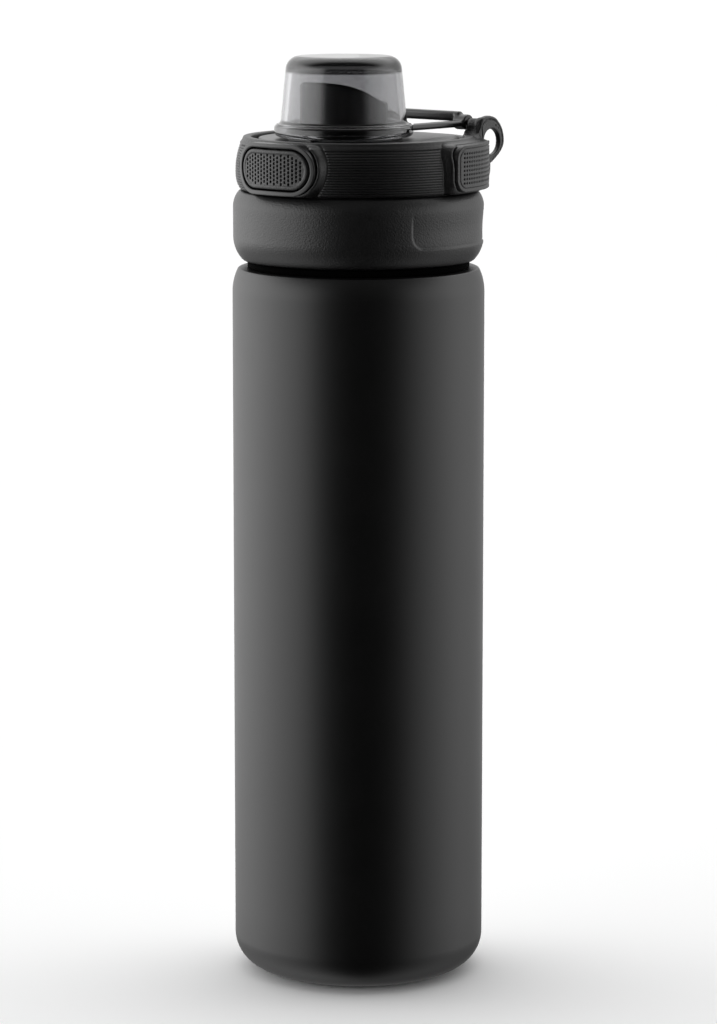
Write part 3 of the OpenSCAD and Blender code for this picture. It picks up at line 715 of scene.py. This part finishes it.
def loop_field(x, y, z):
    """The right-hand side pad and the loop that grows out of it."""
    sin_a, cos_a = math.sin(PAD_ANGLE), math.cos(PAD_ANGLE)
    out = np.hypot(x, y)
    u = x * cos_a + y * sin_a
    w = z - PAD_MID_Z
    flat_pad = pad_distance(u, w)
    front = x * sin_a - y * cos_a
    face = out - PAD_R
    pad = cut(cut(flat_pad, face, 0.2), BACK_R - out, 0.4)
    pad = cut(cut(pad, y - PAD_END_Y - 0.4, 0.8), -front, 0.2)

    ring = np.hypot(y - LOOP_Y, z - LOOP_Z) - LOOP_R
    chin = CHIN_Y * (y - LOOP_Y) - CHIN_Z * (z - LOOP_Z + LOOP_R) - CHIN_CUT
    ring = cut(cut(ring, chin, 2.0), LOOP_FRONT_Y - y, 1.6)
    plate = cut(ring, slab(x, EAR_X - RING_T, EAR_X), 0.9)
    lug = cut(cut(ring, slab(x, LUG_X, EAR_X), 1.8), y - PAD_END_Y, 0.8)
    whole = join(join(plate, lug, 0.6), pad, SADDLE)
    from_hole = np.hypot(y - HOLE_Y, z - HOLE_Z)
    corner = np.maximum(from_hole - FACE_R, EAR_X - x)
    whole = np.maximum(cut(whole, -corner, 1.2), LUG_X - x)
    hole = from_hole - HOLE_R
    whole = cut(whole, -hole, 0.5)
    bore = np.hypot(y - HINGE_Y, z - HINGE_Z) - PIN_HOLE_R
    whole = np.maximum(whole, -np.maximum(bore, x - (pin_high[0] + 0.05)))

    outline = join(flat_pad, ring, 1.2)
    on_pad = smoothstep(-1.0, -0.3, face) * (y < PAD_END_Y + 1.0)
    on_ring = smoothstep(EAR_X - 0.9, EAR_X - 0.3, x)
    facing = np.maximum(on_pad, on_ring)
    line = np.abs(outline + GROOVE_IN) / GROOVE_W
    whole = whole + GROOVE_CUT * np.clip(1 - line ** 2, 0, 1) * facing
    pits = dimples(u + DIMPLES_U, w + DIMPLES_W,
                   lambda a, b: pad_distance(a - DIMPLES_U, b - DIMPLES_W), **PAD_DIMPLES)
    whole = whole + pits * on_pad
    turn = np.arctan2(z - HOLE_Z, y - HOLE_Y)
    nearest = np.round(turn / PIT_STEP) * PIT_STEP
    pit = np.hypot(y - HOLE_Y - PIT_ROW * np.cos(nearest), z - HOLE_Z - PIT_ROW * np.sin(nearest))
    shown = (np.abs(nearest) < PIT_SPAN) * on_ring
    return whole + PIT_DEPTH * np.clip(1 - (pit / PIT_R) ** 2, 0, 1) * shown


loop_verts, loop_faces = implicit(loop_field, loop_low - 0.4, loop_high + 0.4, 0.17)
make_piece("right_loop", loop_verts, loop_faces)
make_piece("left_loop", loop_verts * (-1, 1, 1), loop_faces[:, ::-1])


# ---------------------------------------------------------------------------
# Top plate and spout
# ---------------------------------------------------------------------------
DECK_T = 2.2
DECK_WALL = 1.5
SPOUT_R = SPOUT_BASE_R - 2.0
SPOUT_WALL = 2.2
LIP_Z = spout_high[2]
LIP_DROP = 5.9
LIP_RUN = 18.5
CATCH_W = catch_high[0]
SLOT_FRONT, SLOT_BACK = catch_low[1] - 2.1, catch_high[1] + 0.3
SLOT_SIDE = 0.6
TUNNEL_BACK = 1.3


def deck_field(x, y, z):
    """The top plate with its hole for the spout, the catch's slot and the latch's tunnel."""
    out = np.hypot(x, y)
    plate = cut(out - DECK_R, slab(z, DECK_Z - DECK_T, DECK_Z), 0.5)
    wall = np.maximum(np.maximum(out - DECK_R, DECK_R - DECK_WALL - out),
                      slab(z, GRIP_Z, DECK_Z - DECK_T + 0.5))
    whole = np.minimum(plate, wall)
    whole = cut(whole, SPOUT_R + 0.3 - np.hypot(x, y - CAP_Y), 0.4)
    slot = np.maximum(slab(x, -CATCH_W - SLOT_SIDE, CATCH_W + SLOT_SIDE),
                      slab(y, SLOT_FRONT, SLOT_BACK))
    slot = np.maximum(slot, DECK_Z - DECK_T - 1 - z)
    tunnel = np.maximum(slab(x, slide_low[0] - SLOT_SIDE, slide_high[0] + SLOT_SIDE),
                        y - catch_high[1] + TUNNEL_BACK)
    tunnel = np.maximum(tunnel, slab(z, slide_low[2] - SLOT_SIDE, slide_high[2] + SLOT_SIDE))
    return np.maximum(cut(whole, -slot, 0.4), -tunnel)


make_piece("top_plate", *implicit(deck_field, deck_low - 0.5, deck_high + 0.5, 0.38))


def lip_height(y):
    """The lip's height, which falls in an S from the front to the back."""
    t = np.clip((y - CAP_Y + SPOUT_R - 0.4) / LIP_RUN, 0, 1)
    return LIP_Z - LIP_DROP * t * t * (3 - 2 * t)


spout_in = SPOUT_R - SPOUT_WALL
foot_z = spout_low[2]
FOOT_T, LIP_ROUND = 1.5, 1.05
spout = [(spout_in, foot_z), (SPOUT_BASE_R, foot_z), (SPOUT_BASE_R, foot_z + FOOT_T, 0.4),
         (SPOUT_R, foot_z + FOOT_T, 0.4), (SPOUT_R, LIP_Z - 8), (SPOUT_R, LIP_Z - 4),
         (SPOUT_R, LIP_Z, LIP_ROUND), (spout_in, LIP_Z, LIP_ROUND), (spout_in, LIP_Z - 4),
         (spout_in, LIP_Z - 8)]


def slant_lip(angle, r, z):
    y = CAP_Y - r * np.cos(angle)
    drop = LIP_Z - lip_height(y)
    return r, z - drop * smoothstep(foot_z + 10, LIP_Z - 3, z)


make_piece("spout", *turned(rounded(spout, 8), 256, CAP_Y, slant_lip), weld=True)


# ---------------------------------------------------------------------------
# Flip cap, its catch and the yoke that hinges it
# ---------------------------------------------------------------------------
FLANGE_H = 3.5
DOME_TOP_R = CAP_R - 3.6
DOME_R = CAP_R - 1.7
CAP_WALL, ROOF_T = 1.6, 2.6
SEAT_R = seal_high[0] + 0.05
SEAT_Z = CAP_Z + 1.2
ROOF_ROUND, FLANGE_ROUND = 3.9, 1.3

dome = [(0, CAP_TOP - 0.05), (DOME_TOP_R * 0.5, CAP_TOP - 0.02),
        (DOME_TOP_R - 0.1, CAP_TOP, ROOF_ROUND),
        (DOME_R - 0.1, CAP_Z + FLANGE_H + 0.1, FLANGE_ROUND),
        (CAP_R, CAP_Z + FLANGE_H, FLANGE_ROUND), (CAP_R, CAP_Z, FLANGE_ROUND),
        (SEAT_R, CAP_Z, 0.2), (SEAT_R, SEAT_Z, 0.2), (DOME_R - CAP_WALL, SEAT_Z, 0.3),
        (DOME_TOP_R - CAP_WALL, CAP_TOP - ROOF_T, 2.8), (DOME_TOP_R * 0.4, CAP_TOP - ROOF_T),
        (0, CAP_TOP - ROOF_T)]
make_piece("cap_dome", *turned(rounded(dome, 12), 256, CAP_Y), weld=True)


CATCH_T = 1.6


def catch_field(x, y, z):
    """The cap's catch: a stem that ends in a hook."""
    wide = slab(x, -CATCH_W, CATCH_W)
    stem = cut(cut(wide, slab(y, catch_low[1], catch_low[1] + CATCH_T), 0.4),
               slab(z, catch_low[2], catch_high[2]), 0.3)
    hook = cut(cut(wide, slab(y, catch_low[1], catch_high[1]), 0.4),
               slab(z, catch_low[2], catch_low[2] + CATCH_T), 0.4)
    return join(stem, hook, 0.3)


make_piece("cap_catch", *implicit(catch_field, catch_low - 0.3, catch_high + 0.3, 0.18))

KNUCKLE_R = HINGE_Z - yoke_low[2]
ARM_X, ARM_W = CAP_R - 5.8, 3.6
KNUCKLE_X = ARM_X - 0.6
KNUCKLE_END = yoke_high[0]
BAR_LOW, BAR_HIGH = HINGE_Z + 0.1, yoke_high[2]
ARM_LOW, ARM_T = HINGE_Z - 1.3, 1.8
BAR_HALF = 1.1
SPRING_HOLE_R = 1.75


def yoke_field(x, y, z):
    """Two arms, their knuckles with the pin holes and spring pockets, and the bar between them."""
    side = np.abs(x)
    arm = cut(cut(slab(side, ARM_X, ARM_X + ARM_W), slab(z, ARM_LOW, ARM_LOW + ARM_T), 0.8),
              slab(y, CAP_Y - 1, HINGE_Y), 0.3)
    knuckle = cut(np.hypot(y - HINGE_Y, z - HINGE_Z) - KNUCKLE_R,
                  slab(side, KNUCKLE_X, KNUCKLE_END), 0.5)
    bar = cut(cut(slab(y, HINGE_Y - BAR_HALF, HINGE_Y + BAR_HALF), slab(z, BAR_LOW, BAR_HIGH), 1.0),
              side - KNUCKLE_X - 1.4, 0.6)
    whole = join(join(arm, knuckle, 0.9), bar, 0.8)
    whole = np.maximum(whole, CAP_R - np.hypot(x, y - CAP_Y))
    bore = np.hypot(y - HINGE_Y, z - HINGE_Z)
    pocket = np.maximum(bore - SPRING_HOLE_R, slab(side, KNUCKLE_X + 0.5, KNUCKLE_X + 2.7))
    pin = np.maximum(bore - PIN_HOLE_R, KNUCKLE_X + 0.5 - side)
    return np.maximum(whole, -np.minimum(pocket, pin))


make_piece("cap_yoke", *implicit(yoke_field, yoke_low - 0.3, yoke_high + 0.3, 0.17))


# ---------------------------------------------------------------------------
# Return springs of the button, which shorten as it is pressed; here they keep one fixed length
# ---------------------------------------------------------------------------
WIRE_R = 0.22
COIL_TURNS = 3
COIL_SIDES = 10
COIL_STEPS = 84


def coil(middle_x, middle_z, radius, start_y, end_y):
    """One wire coil along Y, closed at both ends."""
    t = np.linspace(0, 1, COIL_STEPS)
    around = 2 * math.pi * COIL_TURNS * t
    end_share = WIRE_R / abs(end_y - start_y)
    middle_y = start_y + (end_y - start_y) * (end_share + t * (1 - 2 * end_share))
    ring = np.linspace(0, 2 * math.pi, COIL_SIDES, endpoint=False)[None, :]
    reach = radius + WIRE_R * np.cos(ring)
    x = middle_x + reach * np.cos(around)[:, None]
    z = middle_z + reach * np.sin(around)[:, None]
    y = middle_y[:, None] + WIRE_R * np.sin(ring)
    verts = np.stack([x, y, z], -1).reshape(-1, 3)
    faces = [list(f) for f in ring_faces(COIL_STEPS, COIL_SIDES, closed=False)]
    faces.append(list(range(COIL_SIDES)))
    faces.append([len(verts) - 1 - k for k in range(COIL_SIDES)])
    return verts, faces


coil_r = (spring_high[2] - spring_low[2]) / 2 - WIRE_R
coil_x = spring_high[0] - coil_r - WIRE_R
verts, faces = [], []
for side in (-1, 1):
    some, more = coil(side * coil_x, (spring_low[2] + spring_high[2]) / 2, coil_r,
                      spring_high[1], spring_low[1])
    faces += [[k + sum(len(v) for v in verts) for k in f] for f in more]
    verts.append(some)
springs = make_piece("button_springs", np.concatenate(verts), faces, weld=True)
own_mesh(springs)


# ---------------------------------------------------------------------------
# Floor, light and camera
# ---------------------------------------------------------------------------
VIEW_TURN = math.radians(41.5)
EYE_DISTANCE, EYE_HEIGHT, AIM_HEIGHT = 1.20, 0.3287, 0.1352
LENS, SENSOR = 146.2, 36
FLOOR_SIZE, FLOOR_Z = 60, -0.0002
toward_eye = Vector((math.sin(VIEW_TURN), -math.cos(VIEW_TURN), 0))
screen_right = Vector((math.cos(VIEW_TURN), math.sin(VIEW_TURN), 0))

bpy.ops.mesh.primitive_grid_add(x_subdivisions=8, y_subdivisions=8, size=FLOOR_SIZE,
                                location=(0, 0, FLOOR_Z))
floor = bpy.context.object
floor.name = "floor"
paper = bpy.data.materials.new("floor_paper")
paper.use_nodes = True
paper_shader = paper.node_tree.nodes["Principled BSDF"]
paper_shader.inputs["Base Color"].default_value = (0.93, 0.93, 0.93, 1)
paper_shader.inputs["Roughness"].default_value = 0.9
floor.data.materials.append(paper)
floor.visible_glossy = False

# The studio: a bright tent overhead and two tall soft lights with a dark gap between them, where
# the camera stands. Angles are from the camera's side of the bottle towards the screen's right.
GLOW = [(-180, 0.9), (-152, 1.2), (-134, 1.9), (-113, 3.1), (-93, 3.5), (-77, 3.1), (-60, 2.6),
        (-47, 2.0), (-39, 0.5), (-31, 0.0), (35, 0.0), (44, 0.35), (52, 0.95), (62, 1.25), (76, 1.75),
        (92, 2.1), (106, 2.0), (120, 1.4), (145, 0.6), (180, 0.9)]
GLOW_PEAK = 4.0
world = bpy.data.worlds.new("studio")
bpy.context.scene.world = world
world.use_nodes = True
nodes, links = world.node_tree.nodes, world.node_tree.links
background = nodes["Background"]
background.inputs["Color"].default_value = (1, 1, 1, 1)
direction = nodes.new("ShaderNodeTexCoord")


def along(axis):
    """How far the direction of view points along an axis."""
    dot = nodes.new("ShaderNodeVectorMath")
    dot.operation = "DOT_PRODUCT"
    dot.inputs[1].default_value = axis
    links.new(direction.outputs["Generated"], dot.inputs[0])
    return dot.outputs["Value"]


def calculate(operation, *values):
    """A math node fed with numbers or sockets."""
    step = nodes.new("ShaderNodeMath")
    step.operation = operation
    for i, value in enumerate(values):
        if isinstance(value, (int, float)):
            step.inputs[i].default_value = value
        else:
            links.new(value, step.inputs[i])
    return step.outputs[0]


def fade(value, low, high, out_low, out_high):
    """Goes smoothly from out_low to out_high while the value goes from low to high."""
    step = nodes.new("ShaderNodeMapRange")
    step.interpolation_type = "SMOOTHSTEP"
    for name, number in (("From Min", low), ("From Max", high),
                         ("To Min", out_low), ("To Max", out_high)):
        step.inputs[name].default_value = number
    links.new(value, step.inputs["Value"])
    return step.outputs["Result"]


heading = calculate("ARCTAN2", along(screen_right), along(toward_eye))
heading_share = calculate("MULTIPLY_ADD", heading, 1 / (2 * math.pi), 0.5)
glow = nodes.new("ShaderNodeValToRGB")
glow.color_ramp.interpolation = "B_SPLINE"
while len(glow.color_ramp.elements) < len(GLOW):
    glow.color_ramp.elements.new(0.5)
for element, (degrees, level) in zip(glow.color_ramp.elements, GLOW):
    element.position = degrees / 360 + 0.5
    element.color = (level / GLOW_PEAK, level / GLOW_PEAK, level / GLOW_PEAK, 1)
links.new(heading_share, glow.inputs["Fac"])
height = along((0, 0, 1))
sides = calculate("MULTIPLY", glow.outputs["Color"], GLOW_PEAK)
overhead = fade(height, 0.30, 0.62, 0, 1)
behind = fade(along(toward_eye), -0.35, 0.25, 2.0, 0.12)
tent = calculate("MULTIPLY", overhead, behind)
kept = calculate("MULTIPLY", sides, calculate("SUBTRACT", 1.0, overhead))
low_fade = fade(height, -0.27, -0.2, 0.35, 1)
strength = calculate("ADD", tent, calculate("MULTIPLY", kept, low_fade))
links.new(strength, background.inputs["Strength"])

camera_data = bpy.data.cameras.new("camera")
camera_data.lens = LENS
camera_data.sensor_width = SENSOR
camera = bpy.data.objects.new("camera", camera_data)
bpy.context.scene.collection.objects.link(camera)
camera.location = toward_eye * EYE_DISTANCE + Vector((0, 0, EYE_HEIGHT))
aim = Vector((0, 0, AIM_HEIGHT)) - camera.location
camera.rotation_euler = aim.to_track_quat("-Z", "Y").to_euler()
bpy.context.scene.camera = camera
bpy.context.scene.view_settings.view_transform = "Standard"
